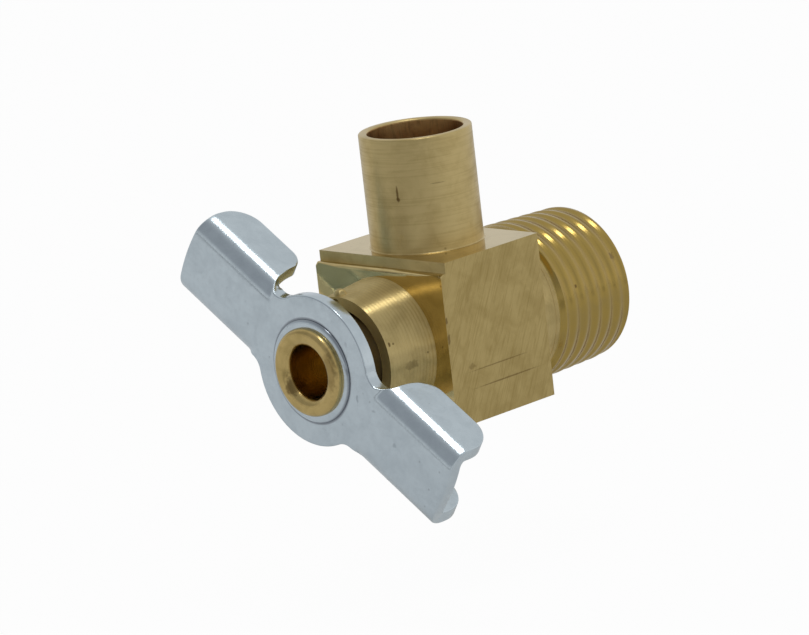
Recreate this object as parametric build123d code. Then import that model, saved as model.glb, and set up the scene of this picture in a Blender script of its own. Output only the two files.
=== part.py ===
from build123d import *
import os
from math import radians, tan

# Air relief valve, in millimetres. The origin is on the inlet axis where the thread begins,
# +Y runs out along the inlet thread and +Z up along the outlet tube.

# Inlet thread and the plain neck behind it
THREAD_DIA = 13.716
THREAD_LENGTH = 9.5
THREAD_CHAMFER = 0.8
NECK_DIA = 13.0
NECK_LENGTH = 2.1
INLET_BORE_DIA = 6.4

# Block
BLOCK_WIDTH = 14.8
BLOCK_DEPTH = 11.65
BLOCK_ABOVE_AXIS = 7.5
BLOCK_BELOW_AXIS = 6.45
LEDGE_HEIGHT = 0.9
LEDGE_DEPTH = 0.6

# Boss on the block's front
BOSS_LENGTH = 4.8
BOSS_RIM_DIA = 10.7
BOSS_FOOT_DIA = 11.8
BOSS_FLARE_RADIUS = 0.4
STEM_BORE_DIA = 8.7

# Punch mark in the boss rim that keeps the stem from coming out
STAKE_RADIUS = 0.55
STAKE_INNER_RADIUS = 0.3
STAKE_ANGLE = 93.0
STAKE_SET_BACK = 0.6
PUNCH_DIA = 0.7
PUNCH_DEPTH = 0.4

# Outlet tube
TUBE_DIA = 9.525
TUBE_WALL = 0.74
TUBE_RISE = 9.7
TUBE_RIM_CHAMFER = 0.12
TUBE_TO_BLOCK_BACK = 5.54
SPIGOT_STEP = 0.3
SPIGOT_LENGTH = 2.0
SPIGOT_CLEARANCE = 0.02
SOCKET_SPARE_DEPTH = 0.1
OUTLET_PORT_DIA = 6.0

# Seat
SEAT_TO_TUBE_AXIS = 3.6
ORIFICE_DIA = 4.4
ORIFICE_LENGTH = 1.0
SEAT_HALF_ANGLE = 59.0

# Stem
STEM_RUNNING_CLEARANCE = 0.08
TIP_DIA = 2.0
TIP_HALF_ANGLE = 40.0
TIP_SEAT_GAP = 0.1
NOSE_DIA = 6.0
LAND_TO_PORT = 0.3
LAND_WIDTH = 0.5
RING_SECTION = 1.35
RING_CLEARANCE = 0.05
GROOVE_SIDE_CLEARANCE = 0.12
COLLAR_LENGTH = 2.6
SHANK_DIA = 7.2
TENON_DIA = 6.4
HEAD_DIA = 7.84
HEAD_HEIGHT = 0.62
HEAD_ROUND = 0.5
HEAD_ROLL = 0.8
STEM_HOLE_DIA = 4.6
STEM_HOLE_DEPTH = 8.4
DRILL_HALF_ANGLE = 59.0

# Wing handle and the washer under the rolled head
SHEET = 1.2
HANDLE_TO_RIM = 2.4
EYE_DIA = 12.7
WING_REACH = 16.15
WING_WIDTH = 7.8
WING_TILT = 33.3
NECK_WIDTH = 6.6
NECK_FILLET = 1.6
BEND_RADIUS = 1.8
FLANGE_HEIGHT = 4.6
FLANGE_START = 7.2
FLANGE_SLANT = 1.1
FLANGE_INNER_CORNER = 1.8
FLANGE_OUTER_CORNER = 2.6
RIVET_CLEARANCE = 0.03
WASHER_DIA = 9.2
WASHER_THICKNESS = 0.25
WASHER_EDGE = 0.1

# Places along the axis, from the back to the front
block_back = -NECK_LENGTH
block_front = block_back - BLOCK_DEPTH
rim_y = block_front - BOSS_LENGTH
web_back = rim_y - HANDLE_TO_RIM
web_front = web_back - SHEET
washer_front = web_front - WASHER_THICKNESS
stem_front = washer_front - HEAD_HEIGHT
tube_y = block_back - TUBE_TO_BLOCK_BACK
seat_y = tube_y + SEAT_TO_TUBE_AXIS

# Radii that several pieces share
stem_bore_r = STEM_BORE_DIA / 2
orifice_r = ORIFICE_DIA / 2
tube_r = TUBE_DIA / 2
spigot_r = tube_r - SPIGOT_STEP
collar_r = stem_bore_r - STEM_RUNNING_CLEARANCE
ring_centre_r = stem_bore_r - RING_CLEARANCE - RING_SECTION / 2
groove_floor_r = ring_centre_r - RING_SECTION / 2 - RING_CLEARANCE
rivet_hole_dia = TENON_DIA + 2 * RIVET_CLEARANCE

# The stem's land stands clear of the outlet port, and its groove and collar follow
land_back = tube_y - OUTLET_PORT_DIA / 2 - LAND_TO_PORT
groove_back = land_back - LAND_WIDTH
groove_width = RING_SECTION + 2 * GROOVE_SIDE_CLEARANCE
groove_front = groove_back - groove_width
collar_front = groove_front - COLLAR_LENGTH


def turned(points):
    """Solid turned about the inlet axis from (radius, y) points."""
    return revolve(make_face(Polyline(*points, close=True)), Axis.Y)


def rounded(outline, corner, radius):
    """Flat outline with the corner at that place rounded."""
    return fillet(outline.vertices().sort_by_distance((*corner, 0))[0], radius)


def bar(radius, y_from, y_to):
    """Round bar on the inlet axis."""
    return turned([(0, y_from), (radius, y_from), (radius, y_to), (0, y_to)])


def make_boss():
    """Coned boss that flares into the block's front and is cut flush with the block's sides."""
    disc_r = BLOCK_WIDTH
    disc_back = block_front + BLOCK_DEPTH / 2
    foot = (BOSS_FOOT_DIA / 2, block_front)
    outline = make_face(Polyline(
        (0, rim_y), (BOSS_RIM_DIA / 2, rim_y), foot, (disc_r, block_front), (disc_r, disc_back), (0, disc_back),
        close=True,
    ))
    flared = revolve(rounded(outline, foot, BOSS_FLARE_RADIUS), Axis.Y)
    return flared & make_prism(rim_y, disc_back)


def make_prism(y_from, y_to):
    """Box with the block's section between two places on the axis."""
    height = BLOCK_ABOVE_AXIS + BLOCK_BELOW_AXIS
    middle = (0, (y_from + y_to) / 2, (BLOCK_ABOVE_AXIS - BLOCK_BELOW_AXIS) / 2)
    return Pos(*middle) * Box(BLOCK_WIDTH, abs(y_to - y_from), height)


def make_stake():
    """Bulges that the punch throws up outside the rim and into the bore."""
    y = rim_y + STAKE_SET_BACK
    outside = Pos(BOSS_RIM_DIA / 2, y, 0) * Rot(0, 90, 0) * Sphere(STAKE_RADIUS)
    inside = Pos(stem_bore_r, y, 0) * Rot(0, 90, 0) * Sphere(STAKE_INNER_RADIUS)
    return Rot(0, -STAKE_ANGLE, 0) * (outside + inside)


def make_punch():
    """Pointed dent in the rim's end face, between the bulges."""
    middle_r = (BOSS_RIM_DIA / 2 + stem_bore_r) / 2
    dent = turned([(0, rim_y), (PUNCH_DIA / 2, rim_y), (0, rim_y + PUNCH_DEPTH)])
    return Rot(0, -STAKE_ANGLE, 0) * Pos(middle_r, 0, 0) * dent


def make_valve_body():
    thread_r = THREAD_DIA / 2
    body = make_prism(block_back, block_front) + make_boss()
    ledge_run = BOSS_LENGTH + LEDGE_DEPTH
    ledge_middle = (0, rim_y + ledge_run / 2, BLOCK_ABOVE_AXIS - LEDGE_HEIGHT / 2)
    body -= Pos(*ledge_middle) * Box(BLOCK_WIDTH, ledge_run, LEDGE_HEIGHT)
    body += bar(NECK_DIA / 2, block_back, 0)
    body += turned([
        (0, 0), (thread_r, 0), (thread_r, THREAD_LENGTH - THREAD_CHAMFER),
        (thread_r - THREAD_CHAMFER, THREAD_LENGTH), (0, THREAD_LENGTH),
    ])
    seat_floor = seat_y - (stem_bore_r - orifice_r) / tan(radians(SEAT_HALF_ANGLE))
    body -= turned([
        (0, rim_y), (stem_bore_r, rim_y), (stem_bore_r, seat_floor), (orifice_r, seat_y),
        (orifice_r, seat_y + ORIFICE_LENGTH), (INLET_BORE_DIA / 2, seat_y + ORIFICE_LENGTH),
        (INLET_BORE_DIA / 2, THREAD_LENGTH), (0, THREAD_LENGTH),
    ])
    body += make_stake()
    body -= make_punch()
    socket_depth = SPIGOT_LENGTH + SOCKET_SPARE_DEPTH
    socket_middle = BLOCK_ABOVE_AXIS - socket_depth / 2
    body -= Pos(0, tube_y, socket_middle) * Cylinder(spigot_r + SPIGOT_CLEARANCE, socket_depth)
    return body - Pos(0, tube_y, BLOCK_ABOVE_AXIS / 2) * Cylinder(OUTLET_PORT_DIA / 2, BLOCK_ABOVE_AXIS)


def make_outlet_tube():
    bore_r = tube_r - TUBE_WALL
    foot = BLOCK_ABOVE_AXIS - SPIGOT_LENGTH
    rim = BLOCK_ABOVE_AXIS + TUBE_RISE
    outline = Plane.XZ * make_face(Polyline(
        (bore_r, foot), (spigot_r, foot), (spigot_r, BLOCK_ABOVE_AXIS), (tube_r, BLOCK_ABOVE_AXIS),
        (tube_r, rim - TUBE_RIM_CHAMFER), (tube_r - TUBE_RIM_CHAMFER, rim), (bore_r, rim),
        close=True,
    ))
    return Pos(0, tube_y, 0) * revolve(outline, Axis.Z)


def make_stem():
    tip_slope = tan(radians(TIP_HALF_ANGLE))
    contact_y = seat_y - TIP_SEAT_GAP
    tip_end = contact_y + (orifice_r - TIP_DIA / 2) / tip_slope
    nose_end = contact_y - (NOSE_DIA / 2 - orifice_r) / tip_slope
    hole_r = STEM_HOLE_DIA / 2
    hole_floor = stem_front + STEM_HOLE_DEPTH
    hole_point = hole_floor + hole_r / tan(radians(DRILL_HALF_ANGLE))
    outline = make_face(Polyline(
        (0, tip_end), (TIP_DIA / 2, tip_end), (NOSE_DIA / 2, nose_end), (NOSE_DIA / 2, land_back),
        (collar_r, land_back), (collar_r, groove_back), (groove_floor_r, groove_back),
        (groove_floor_r, groove_front), (collar_r, groove_front), (collar_r, collar_front),
        (SHANK_DIA / 2, collar_front), (SHANK_DIA / 2, web_back), (TENON_DIA / 2, web_back),
        (TENON_DIA / 2, washer_front), (HEAD_DIA / 2, washer_front), (HEAD_DIA / 2, stem_front),
        (hole_r, stem_front), (hole_r, hole_floor), (0, hole_point),
        close=True,
    ))
    outline = rounded(outline, (HEAD_DIA / 2, stem_front), HEAD_ROUND)
    outline = rounded(outline, (hole_r, stem_front), HEAD_ROLL)
    return revolve(outline, Axis.Y)


def make_stem_o_ring():
    middle = (groove_back + groove_front) / 2
    return Pos(0, middle, 0) * Rot(90, 0, 0) * Torus(ring_centre_r, RING_SECTION / 2)


def make_eye_plate():
    """Flat eye with the two necks that lead to the wings, its front face at z = 0."""
    neck_run = FLANGE_START + FLANGE_SLANT
    outline = Circle(EYE_DIA / 2) + Rectangle(2 * neck_run, NECK_WIDTH)
    inner = [v for v in outline.vertices() if abs(v.X) < FLANGE_START]
    return extrude(fillet(inner, NECK_FILLET), -SHEET)


def make_wing():
    """One wing along +X, a channel whose flanges fold back and have round corners."""
    half = WING_WIDTH / 2
    shell = make_channel(half, BEND_RADIUS, 0)
    hollow = make_channel(half - SHEET, BEND_RADIUS - SHEET, -SHEET)
    channel = extrude(Plane.YZ * (shell - hollow), WING_REACH)
    far = -FLANGE_HEIGHT
    side = make_face(Polyline(
        (FLANGE_START, 0), (WING_REACH, 0), (WING_REACH, far), (FLANGE_START + FLANGE_SLANT, far),
        close=True,
    ))
    side = rounded(side, (FLANGE_START + FLANGE_SLANT, far), FLANGE_INNER_CORNER)
    side = rounded(side, (WING_REACH, far), FLANGE_OUTER_CORNER)
    trim = extrude(Plane.XZ * side, half, both=True)
    return channel & trim & Cylinder(WING_REACH, 2 * FLANGE_HEIGHT)


def make_channel(half, radius, top):
    """Section of a channel, open at the bottom, with round upper corners."""
    section = make_face(Polyline(
        (-half, -FLANGE_HEIGHT), (-half, top), (half, top), (half, -FLANGE_HEIGHT), close=True,
    ))
    upper = section.vertices().group_by(Axis.Y)[-1]
    return fillet(upper, radius)


def make_wing_handle():
    wing = make_wing()
    handle = make_eye_plate() + wing + Rot(0, 0, 180) * wing
    handle -= Cylinder(rivet_hole_dia / 2, 4 * SHEET)
    return Pos(0, web_front, 0) * Rot(0, WING_TILT, 0) * Rot(90, 0, 0) * handle


def make_rivet_washer():
    hole_r = rivet_hole_dia / 2
    washer_r = WASHER_DIA / 2
    return turned([
        (hole_r, web_front), (washer_r, web_front), (washer_r, washer_front + WASHER_EDGE),
        (washer_r - WASHER_EDGE, washer_front), (hole_r, washer_front),
    ])


os.makedirs("parts", exist_ok=True)
export_step(make_valve_body(), "parts/valve_body.step")
export_step(make_outlet_tube(), "parts/outlet_tube.step")
export_step(make_stem(), "parts/stem.step")
export_step(make_stem_o_ring(), "parts/stem_o_ring.step")
export_step(make_wing_handle(), "parts/wing_handle.step")
export_step(make_rivet_washer(), "parts/rivet_washer.step")
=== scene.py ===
import math

import bmesh
import bpy
from bpy.props import FloatProperty, FloatVectorProperty, IntProperty, PointerProperty
from mathutils import Matrix, Vector
from mathutils.geometry import delaunay_2d_cdt


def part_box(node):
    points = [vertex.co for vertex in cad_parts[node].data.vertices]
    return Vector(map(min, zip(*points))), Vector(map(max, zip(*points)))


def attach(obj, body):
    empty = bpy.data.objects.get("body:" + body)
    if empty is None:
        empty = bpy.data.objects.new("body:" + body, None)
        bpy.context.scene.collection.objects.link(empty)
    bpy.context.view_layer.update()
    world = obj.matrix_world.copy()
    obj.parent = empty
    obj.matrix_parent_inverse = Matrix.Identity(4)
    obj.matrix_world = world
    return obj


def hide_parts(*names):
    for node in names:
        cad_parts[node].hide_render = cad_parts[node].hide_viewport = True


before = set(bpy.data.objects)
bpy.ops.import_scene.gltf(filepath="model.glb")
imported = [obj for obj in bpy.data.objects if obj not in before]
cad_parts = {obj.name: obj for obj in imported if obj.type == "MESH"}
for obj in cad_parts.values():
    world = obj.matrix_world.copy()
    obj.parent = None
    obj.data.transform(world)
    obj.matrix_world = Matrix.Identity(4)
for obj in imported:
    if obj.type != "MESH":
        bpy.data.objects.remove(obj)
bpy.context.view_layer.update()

bl_info = {
    "name": "Air relief valve",
    "version": (1, 0, 0),
    "blender": (4, 5, 0),
    "location": "3D View > Sidebar > Valve",
    "description": "Dresses a brass air relief valve with its thread, wing handle and worn finishes",
    "category": "Object",
}

MM = 0.001
body_low, body_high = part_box("valve_body")
tube_low, tube_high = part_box("outlet_tube")
handle_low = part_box("wing_handle")[0]
washer_low, washer_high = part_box("rivet_washer")

# Sizes of the body's solid
NECK_RADIUS = 6.5 * MM
NECK_LENGTH = 2.1 * MM
INLET_BORE_RADIUS = 3.2 * MM
BLOCK_BACK = -NECK_LENGTH
BLOCK_DEPTH = 11.65 * MM
BLOCK_FRONT = BLOCK_BACK - BLOCK_DEPTH
LEDGE_HEIGHT = 0.9 * MM
BOSS_FOOT_RADIUS = 5.9 * MM

# Rounds put on the body, and the reaches in which its flare, sharp edges and flat faces are found
BOSS_FLARE = 0.42 * MM
BOSS_FOOT_SLACK = 0.06 * MM
STEM_BORE_CLEAR = 5.0 * MM
FLAT_PAST_BACK = 0.6 * MM
EDGE_ROUND = 0.13 * MM
LEDGE_ROUND = 0.28 * MM

# Thread form: the steep flank's share of a pitch, the first groove's share of the depth, the pitches over
# which the grooves come to full depth, and both ends
STEEP_SHARE = 0.35
FIRST_GROOVE = 0.45
RUN_IN = (-0.2, 1.3)
THREAD_END_CHAMFER = 0.6 * MM
THREAD_START_RADIUS = 6.52 * MM
THREAD_START_FLAT = 0.5 * MM
THREAD_START_SLOPE = 1.2

# Faces that take each finish are told apart by these places and margins
SLACK = 0.05 * MM
SKIN = 0.02 * MM
NECK_END = 0.45 * MM
NECK_INSIDE = 5.6 * MM
NECK_OUTSIDE = 6.6 * MM
THREAD_FACE, SAWN_FACE, SMOOTH_FACE, TURNED_FACE, RIM_FACE = range(5)

# Outlet tube
TUBE_WALL = 0.74 * MM
TUBE_FOOT_STEP = 0.3 * MM
TUBE_FILLET = 0.12 * MM
TUBE_INNER_ROUND = 1.6 * EDGE_ROUND

# Blank of the handle: the waist beside the eye, a flange's ends and corners, and where the fold begins
WAIST_HALF = 3.3 * MM
WAIST_ROUND = 1.6 * MM
FLANGE_START = 7.35 * MM
FLANGE_SLANT = 0.8 * MM
FLANGE_END_BACK = 0.1 * MM
FLANGE_END_DROP = 2.9 * MM
FLANGE_ROUNDS = ((0.75 * MM, 10), (1.7 * MM, 14), (2.5 * MM, 18))
FOLD_START = 6.3 * MM
FOLD_FULL = 8.1 * MM

# Mesh of the sheet: points round its hole, steps along and over its edge, the grid's clearance in cells
HOLE_POINTS = 120
EDGE_STEP = 0.7
EDGE_ARC_STEPS = 5
GRID_CLEAR = 0.55

# Rounded front edge of the ring
RING_CROWN = 0.35 * MM
RING_CROWN_STEPS = 7

# How far past the sheet's back the stem comes forward with the handle, and where its painted shade begins
STEM_PAST_SHEET = 0.01 * MM
SHADE_INSIDE_HOLE = 0.1 * MM

# Stage: floor, room, strip light and camera, in metres, with the lens and its sensor in millimetres
FLOOR_HALF = 0.6
FLOOR_FRONT = (0.45, -0.893, 0.0)
FLOOR_FRONT_SHARE = 0.6
FLOOR_WHITE_SHARE = 0.97
ROOM_MIRRORED_SHARE = 0.3
STRIP_WIDTH = 0.095
STRIP_LENGTH = 0.27
STRIP_PLACE = (0.085, 0.004, 0.6)
CAMERA_LENS = 213.67
CAMERA_SENSOR = 36.0
CAMERA_PLACE = (0.28235, -0.27944, 0.09188)
CAMERA_RIGHT = (0.7028, 0.7025, -0.1118)
CAMERA_UP = (-0.0833, 0.2374, 0.9678)
CAMERA_BACK = (0.7064, -0.6710, 0.2253)


# Settings that a user would change


class ValveThreadSettings(bpy.types.PropertyGroup):
    """Cut inlet thread"""

    pitch: FloatProperty(
        name="Pitch", description="Distance from one ridge to the next",
        default=25.4 / 18 * MM, unit="LENGTH", precision=5,
    )
    depth: FloatProperty(
        name="Depth", description="Depth of a full groove",
        default=0.18 * MM, unit="LENGTH", precision=5,
    )
    start_radius: FloatProperty(
        name="Start radius", description="Ridge radius next to the neck",
        default=7.0 * MM, unit="LENGTH", precision=5,
    )
    taper: FloatProperty(
        name="Taper", description="Loss of radius for each unit of length",
        default=1 / 32, subtype="FACTOR", precision=4,
    )
    turns_cut: IntProperty(
        name="Cuts round", description="Number of points round the thread",
        default=192, min=48, subtype="UNSIGNED",
    )
    rows_cut: IntProperty(
        name="Cuts a ridge", description="Number of points along one pitch",
        default=22, min=8, subtype="UNSIGNED",
    )


class ValveHandleSettings(bpy.types.PropertyGroup):
    """Folded wing handle and the head that holds it"""

    sheet: FloatProperty(
        name="Sheet", description="Thickness of the plated sheet",
        default=1.2 * MM, unit="LENGTH", precision=5,
    )
    eye_radius: FloatProperty(
        name="Eye radius", description="Outside radius of the eye",
        default=6.4 * MM, unit="LENGTH", precision=5,
    )
    hole_radius: FloatProperty(
        name="Hole radius", description="Radius of the hole for the stem",
        default=3.23 * MM, unit="LENGTH", precision=5,
    )
    wing_reach: FloatProperty(
        name="Wing reach", description="From the axis to a wing's end",
        default=16.4 * MM, unit="LENGTH", precision=5,
    )
    web_half: FloatProperty(
        name="Flat half width", description="Half of the flat strip between the bends",
        default=2.15 * MM, unit="LENGTH", precision=5,
    )
    bend_radius: FloatProperty(
        name="Bend radius", description="Outside radius of a bend",
        default=1.8 * MM, unit="LENGTH", precision=5,
    )
    flange: FloatProperty(
        name="Flange", description="Straight part of a flange, past its bend",
        default=3.0 * MM, unit="LENGTH", precision=5,
    )
    forward: FloatProperty(
        name="Forward", description="How far the handle stands forward of its solid",
        default=0.18 * MM, unit="LENGTH", precision=5,
    )
    head_scale: FloatProperty(
        name="Head scale", description="Size of the rolled head as a share of its solid",
        default=0.955, subtype="FACTOR", min=0.9, max=1.0,
    )
    edge_round: FloatProperty(
        name="Edge round", description="Rounding of the sheet's cut edge",
        default=0.13 * MM, unit="LENGTH", precision=5,
    )
    tilt: FloatProperty(
        name="Tilt", description="Turn of the wings about the stem",
        default=math.radians(33.3), subtype="ANGLE",
    )
    cell: FloatProperty(
        name="Cell", description="Size of a mesh cell on the sheet",
        default=0.24 * MM, unit="LENGTH", precision=5,
    )


class ValveFinishSettings(bpy.types.PropertyGroup):
    """Colours of the metals, their marks and the rubber"""

    brass: FloatVectorProperty(
        name="Brass", description="Colour of clean brass",
        default=(0.57, 0.435, 0.18), subtype="COLOR",
    )
    brass_dark: FloatVectorProperty(
        name="Dull brass", description="Colour of dull or stained brass",
        default=(0.40, 0.29, 0.10), subtype="COLOR",
    )
    tube_brass: FloatVectorProperty(
        name="Tube brass", description="Colour of the drawn tube",
        default=(0.66, 0.515, 0.235), subtype="COLOR",
    )
    boss_brass: FloatVectorProperty(
        name="Boss brass", description="Colour of the turned boss",
        default=(0.74, 0.58, 0.26), subtype="COLOR",
    )
    thread_brass: FloatVectorProperty(
        name="Thread brass", description="Colour of the cut thread",
        default=(0.45, 0.315, 0.085), subtype="COLOR",
    )
    stem_brass: FloatVectorProperty(
        name="Stem brass", description="Colour of the rolled stem end",
        default=(0.64, 0.475, 0.19), subtype="COLOR",
    )
    zinc: FloatVectorProperty(
        name="Zinc", description="Colour of the plating",
        default=(0.66, 0.745, 0.79), subtype="COLOR",
    )
    zinc_dark: FloatVectorProperty(
        name="Dull zinc", description="Colour of the duller patches of plating",
        default=(0.54, 0.615, 0.66), subtype="COLOR",
    )
    stain: FloatVectorProperty(
        name="Stain", description="Colour of stains and scribed lines",
        default=(0.16, 0.095, 0.03), subtype="COLOR",
    )
    rubber: FloatVectorProperty(
        name="Rubber", description="Colour of the ring",
        default=(0.025, 0.025, 0.027), subtype="COLOR",
    )
    # The end face's brass, painted brighter than the boss's to stand for light falling on it
    rim_brass: FloatVectorProperty(
        name="Rim brass", description="Colour of the boss's end face",
        default=(0.86, 0.63, 0.25), subtype="COLOR",
    )
    tube_brown: FloatVectorProperty(
        name="Tube brown", description="Colour inside the tube",
        default=(0.56, 0.36, 0.15), subtype="COLOR",
    )
    tube_brown_dark: FloatVectorProperty(
        name="Dark tube brown", description="Colour of the darker patches inside the tube",
        default=(0.40, 0.22, 0.085), subtype="COLOR",
    )
    # Painted shade: the dark colour of the stem in the shadowed gap behind the handle
    stem_shade: FloatVectorProperty(
        name="Grease", description="Colour of the greased stem behind the handle",
        default=(0.09, 0.06, 0.025), subtype="COLOR",
    )
    scuff: FloatVectorProperty(
        name="Scuff", description="Colour of scuffs on the plating",
        default=(0.36, 0.41, 0.45), subtype="COLOR",
    )
    speck: FloatVectorProperty(
        name="Speck", description="Colour of specks in the plating",
        default=(0.2, 0.22, 0.24), subtype="COLOR",
    )
    # Painted shadow: the dark line round the ring's edge
    ring_shadow: FloatVectorProperty(
        name="Ring shadow", description="Colour of the dark line round the ring",
        default=(0.2, 0.21, 0.24), subtype="COLOR",
    )


class ValveStageSettings(bpy.types.PropertyGroup):
    """Floor, room and strip light"""

    floor_gap: FloatProperty(
        name="Floor gap", description="Space between the lowest wing and the floor",
        default=9.0 * MM, unit="LENGTH", precision=5,
    )
    floor_colour: FloatVectorProperty(
        name="Floor", description="Colour of the floor",
        default=(0.82, 0.82, 0.82), subtype="COLOR",
    )
    surround: FloatVectorProperty(
        name="Surround", description="Colour of the room's soft light",
        default=(0.457, 0.471, 0.486), subtype="COLOR",
    )
    front_shade: FloatVectorProperty(
        name="Front shade", description="Colour of the darker room behind the camera",
        default=(0.057, 0.071, 0.10), subtype="COLOR",
    )
    far_left: FloatVectorProperty(
        name="Far left", description="Colour of the room's far wall on the left",
        default=(0.543, 0.557, 0.586), subtype="COLOR",
    )
    far_right: FloatVectorProperty(
        name="Far right", description="Colour of the room's far wall on the right",
        default=(0.60, 0.60, 0.60), subtype="COLOR",
    )
    strip_light: FloatProperty(
        name="Strip light", description="Brightness of the strip light overhead",
        default=6.5, min=0.0, subtype="UNSIGNED",
    )


# Meshes


def new_piece(name, mesh, body, replaced):
    """Links a piece, lets it ride on its body and stand for its solid."""
    piece = bpy.data.objects.new(name, mesh)
    bpy.context.scene.collection.objects.link(piece)
    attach(piece, body)
    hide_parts(replaced)
    return piece


def radius_of(co):
    """Distance from the inlet axis."""
    return math.hypot(co.x, co.z)


def smooth_step(low, high, value):
    """Zero below a span, one above it and a smooth rise between."""
    t = min(max((value - low) / (high - low), 0.0), 1.0)
    return t * t * (3 - 2 * t)


def shade_smooth(mesh, angle):
    """Smooth shading with a sharp line where the surface turns by more than the angle."""
    mesh.shade_smooth()
    mesh.set_sharp_from_angle(angle=angle)


def solid_copy(node):
    """The node's own mesh as an editable one, with its points joined."""
    form = bmesh.new()
    form.from_mesh(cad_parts[node].data)
    bmesh.ops.remove_doubles(form, verts=form.verts, dist=0.5e-6)
    return form


def thread_radius(settings, angle, y, length):
    """Outside radius of the tapered right-hand thread at one angle and place along it."""
    crest = settings.start_radius - settings.taper * y
    phase = (y / settings.pitch + angle / math.tau) % 1.0
    if phase < STEEP_SHARE:
        share = 0.5 * phase / STEEP_SHARE
    else:
        share = 0.5 + 0.5 * (phase - STEEP_SHARE) / (1 - STEEP_SHARE)
    groove = (1 + math.cos(math.tau * share)) / 2
    run_in = smooth_step(*RUN_IN, y / settings.pitch)
    fall = settings.depth * groove * (FIRST_GROOVE + (1 - FIRST_GROOVE) * run_in)
    end_cone = crest - THREAD_END_CHAMFER + (length - y)
    start_cone = THREAD_START_RADIUS + max(y - THREAD_START_FLAT, 0.0) * THREAD_START_SLOPE
    return min(crest - fall, end_cone, start_cone)


def loop_at(form, y, radius):
    """Open edges of the form that lie on one circle about the axis."""
    near = 4e-6
    return [
        e for e in form.edges
        if len(e.link_faces) == 1
        and all(abs(v.co.y - y) < near and abs(radius_of(v.co) - radius) < near for v in e.verts)
    ]


def cut_thread(form, settings):
    """Takes the plain shank off the body and puts the ridges there."""
    length = body_high.y
    near = 2e-6
    shank = [
        v for v in form.verts
        if v.co.y > -near and radius_of(v.co) > INLET_BORE_RADIUS + near
        and (v.co.y > near or abs(radius_of(v.co) - NECK_RADIUS) > near)
    ]
    bmesh.ops.delete(form, geom=shank, context="VERTS")
    count = settings.turns_cut
    rows = round(length / settings.pitch * settings.rows_cut)
    rings = []
    for i in range(rows + 1):
        y = length * i / rows
        ring = []
        for j in range(count):
            a = math.tau * j / count
            r = thread_radius(settings, a, y, length)
            ring.append(form.verts.new((r * math.cos(a), y, r * math.sin(a))))
        rings.append(ring)
    for low, high in zip(rings, rings[1:]):
        for j in range(count):
            k = (j + 1) % count
            form.faces.new((low[j], high[j], high[k], low[k]))
    for ring, y, radius in ((rings[0], 0.0, NECK_RADIUS), (rings[-1], length, INLET_BORE_RADIUS)):
        edges = [form.edges.get((ring[j], ring[(j + 1) % count])) for j in range(count)]
        bmesh.ops.bridge_loops(form, edges=edges + loop_at(form, y, radius))
    bmesh.ops.recalc_face_normals(form, faces=form.faces)


def square_boss_foot(form):
    """Draws the small flare at the boss's foot in to a plain corner."""
    foot = BOSS_FOOT_RADIUS
    for vert in form.verts:
        r = radius_of(vert.co)
        in_flare = foot - BOSS_FOOT_SLACK < r < foot + BOSS_FLARE
        if in_flare and BLOCK_FRONT - BOSS_FLARE < vert.co.y < BLOCK_FRONT + 1e-6:
            vert.co = (vert.co.x * foot / r, BLOCK_FRONT, vert.co.z * foot / r)
    bmesh.ops.remove_doubles(form, verts=form.verts, dist=1e-6)
    bmesh.ops.dissolve_degenerate(form, edges=form.edges, dist=1e-7)


def soften_block(form):
    """Small rounds on the body's sharp outer edges, and a larger one where the front meets the ledge."""
    ledge_z = body_high.z - LEDGE_HEIGHT
    near = 2e-6
    ledge = [
        e for e in form.edges
        if all(abs(v.co.z - ledge_z) < near and abs(v.co.y - BLOCK_FRONT) < near for v in e.verts)
    ]
    bmesh.ops.bevel(form, geom=ledge, offset=LEDGE_ROUND, segments=4, profile=0.5, affect="EDGES")
    sharp = []
    for edge in form.edges:
        if len(edge.link_faces) != 2 or edge.calc_face_angle() < math.radians(40):
            continue
        if all(v.co.y < -1e-5 and radius_of(v.co) > STEM_BORE_CLEAR for v in edge.verts):
            sharp.append(edge)
    bmesh.ops.bevel(
        form, geom=sharp, offset=EDGE_ROUND, segments=3, profile=0.5, affect="EDGES", clamp_overlap=True,
    )


def keep_faces_flat(mesh, front, back):
    """Sharp lines round the flat faces, so that the rounded edges don't bend what they mirror."""
    flat = set()
    for face in mesh.polygons:
        n = face.normal
        square_on = max(abs(n.x), abs(n.y), abs(n.z)) > 0.99999
        if square_on and (front - 1e-6 < face.center.y < back + 1e-6 or abs(n.y) > 0.9):
            flat.add(face.index)
    sides = {}
    for face in mesh.polygons:
        for key in face.edge_keys:
            sides.setdefault(key, []).append(face)
    for edge in mesh.edges:
        pair = sides[edge.key]
        if any(f.index in flat for f in pair) and pair[0].normal.dot(pair[-1].normal) < 0.9995:
            edge.use_edge_sharp = True


def join_rings(form, rings):
    """Faces between each closed ring of points and the next one."""
    for low, high in zip(rings, rings[1:]):
        count = len(low)
        for j in range(count):
            k = (j + 1) % count
            form.faces.new((low[j], low[k], high[k], high[j]))


def lathe(points, axis_place, along, count):
    """Closed turned mesh from (radius, place along the axis) points, about an axis along Y or Z."""
    form = bmesh.new()
    rings = []
    for r, p in points:
        ring = []
        for j in range(count):
            a = math.tau * j / count
            c, s = r * math.cos(a), r * math.sin(a)
            offset = Vector((c, s, p)) if along == "Z" else Vector((c, p, s))
            ring.append(form.verts.new(axis_place + offset))
        rings.append(ring)
    join_rings(form, rings + rings[:1])
    bmesh.ops.recalc_face_normals(form, faces=form.faces)
    return form


def arc(centre, radius, start, end, steps):
    """Points of a circle's arc, angles in degrees."""
    turns = [math.radians(start + (end - start) * i / steps) for i in range(steps + 1)]
    return [(centre[0] + radius * math.cos(t), centre[1] + radius * math.sin(t)) for t in turns]


def mesh_from(form, name, angle):
    """Turns an editable form into a smooth-shaded mesh and frees the form."""
    mesh = bpy.data.meshes.new(name)
    form.to_mesh(mesh)
    form.free()
    shade_smooth(mesh, angle)
    return mesh


# Wing handle


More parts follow.
